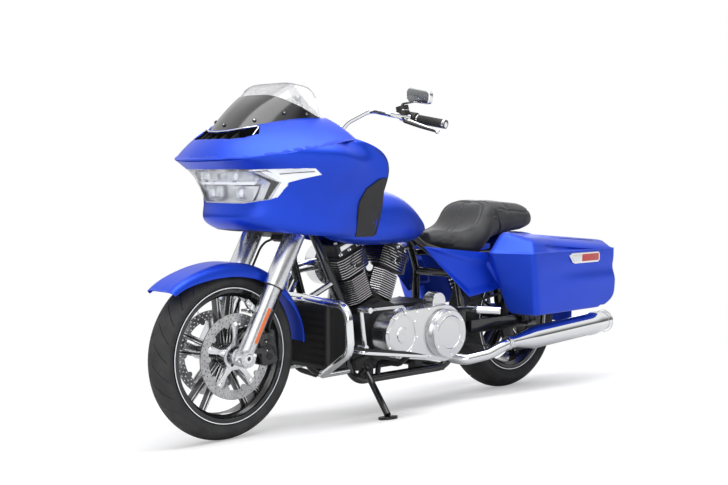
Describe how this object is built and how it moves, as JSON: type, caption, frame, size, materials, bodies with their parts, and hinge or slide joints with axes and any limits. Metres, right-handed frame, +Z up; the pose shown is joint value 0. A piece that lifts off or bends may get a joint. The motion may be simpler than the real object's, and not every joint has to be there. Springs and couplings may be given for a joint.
{
  "type": "touring cruiser motorcycle",
  "caption": "Touring cruiser motorcycle with a frame-mounted fairing, V-twin engine, two-up seat and hard saddlebags, parked on its side stand.",
  "frame": {"origin": "bottom centre of the bounding box, on the ground", "axes": "+X forward, +Y to the machine's left, +Z up; the machine leans towards +Y on its side stand"},
  "size_m": [2.3962, 0.9664, 1.3606],
  "materials": {
    "belt_rubber": "matt",
    "black_metal": "black",
    "black_plastic": "fine matt",
    "caliper_black": "satin black",
    "chrome": "bright chrome",
    "cover_chrome": "chrome",
    "disc_steel": "ground steel",
    "engine_black": "black with bright fin edges",
    "fork_metal": "polished",
    "frame_black": "gloss black",
    "lamp_glass": "clear lens over bright reflectors",
    "lamp_red": "red lens",
    "paint_blue": "satin cobalt blue",
    "seat_cover": "dark grey grained cover",
    "smoked_screen": "smoked",
    "tyre_rubber": "matt rubber",
    "wheel_black": "gloss black cast aluminium with machined edges"
  },
  "bodies": {
    "chassis": {"air_cleaner": "cover_chrome", "bag_brackets": "frame_black", "cam_cover": "cover_chrome", "drive_belt": "belt_rubber", "engine_case": "engine_black", "engine_guard": "chrome", "exhaust_pipes": "chrome", "floorboards": "black_metal", "foot_controls": "chrome", "front_cylinder": "engine_black", "fuel_tank": "paint_blue", "headlamp": "lamp_glass", "inner_fairing": "black_plastic", "main_frame": "frame_black", "mufflers": "chrome", "oil_cooler": "black_plastic", "outer_fairing": "paint_blue", "passenger_pegs": "chrome", "primary_cover": "cover_chrome", "rear_caliper": "caliper_black", "rear_cylinder": "engine_black", "rear_fender": "paint_blue", "rear_shocks": "frame_black", "rocker_covers": "engine_black", "saddlebag_left": "paint_blue", "saddlebag_right": "paint_blue", "seat": "seat_cover", "side_covers": "paint_blue", "swingarm": "frame_black", "tail_lamps": "lamp_red", "windscreen": "smoked_screen"},
    "steering": {"fork_leg_left": "fork_metal", "fork_leg_right": "fork_metal", "fork_yokes": "black_metal", "front_axle": "chrome", "front_calipers": "caliper_black", "front_fender": "paint_blue", "handlebar": "chrome", "controls": "black_plastic", "mirrors": "chrome", "brake_hoses": "belt_rubber"},
    "front_wheel": {"front_tyre": "tyre_rubber", "front_rim": "wheel_black", "front_discs": "disc_steel"},
    "rear_wheel": {"rear_tyre": "tyre_rubber", "rear_rim": "wheel_black", "rear_disc": "disc_steel", "rear_sprocket": "black_metal"},
    "side_stand": {"side_stand": "frame_black"},
    "saddlebag_lid_left": {"saddlebag_lid_left": "paint_blue"},
    "saddlebag_lid_right": {"saddlebag_lid_right": "paint_blue"}
  },
  "joints": [
    {"name": "steering_turn", "type": "hinge", "parent": "chassis", "child": "steering", "pos_m": [0.63427, -0.02653, 0.84267], "axis": [-0.4384, 0.1251, 0.89], "range_deg": [-28, 28]},
    {"name": "front_wheel_spin", "type": "hinge", "parent": "steering", "child": "front_wheel", "pos_m": [0.87884, -0.10039, 0.31714], "axis": [0, 0.9903, -0.1392], "continuous": true},
    {"name": "rear_wheel_spin", "type": "hinge", "parent": "chassis", "child": "rear_wheel", "pos_m": [-0.74616, -0.09923, 0.32536], "axis": [0, 0.9903, -0.1392], "continuous": true},
    {"name": "side_stand_swing", "type": "hinge", "parent": "chassis", "child": "side_stand", "pos_m": [0.28384, 0.03294, 0.18803], "axis": [-0.056, 0.792, 0.608], "range_deg": [0, 88]},
    {"name": "saddlebag_lid_left_hinge", "type": "hinge", "parent": "chassis", "child": "saddlebag_lid_left", "pos_m": [-0.74616, 0.35861, 0.58683], "axis": [-0.9997, -0.0227, 0.0032], "range_deg": [0, 85]},
    {"name": "saddlebag_lid_right_hinge", "type": "hinge", "parent": "chassis", "child": "saddlebag_lid_right", "pos_m": [-0.74616, -0.46727, 0.7029], "axis": [0.9997, -0.0227, 0.0032], "range_deg": [0, 85]}
  ]
}
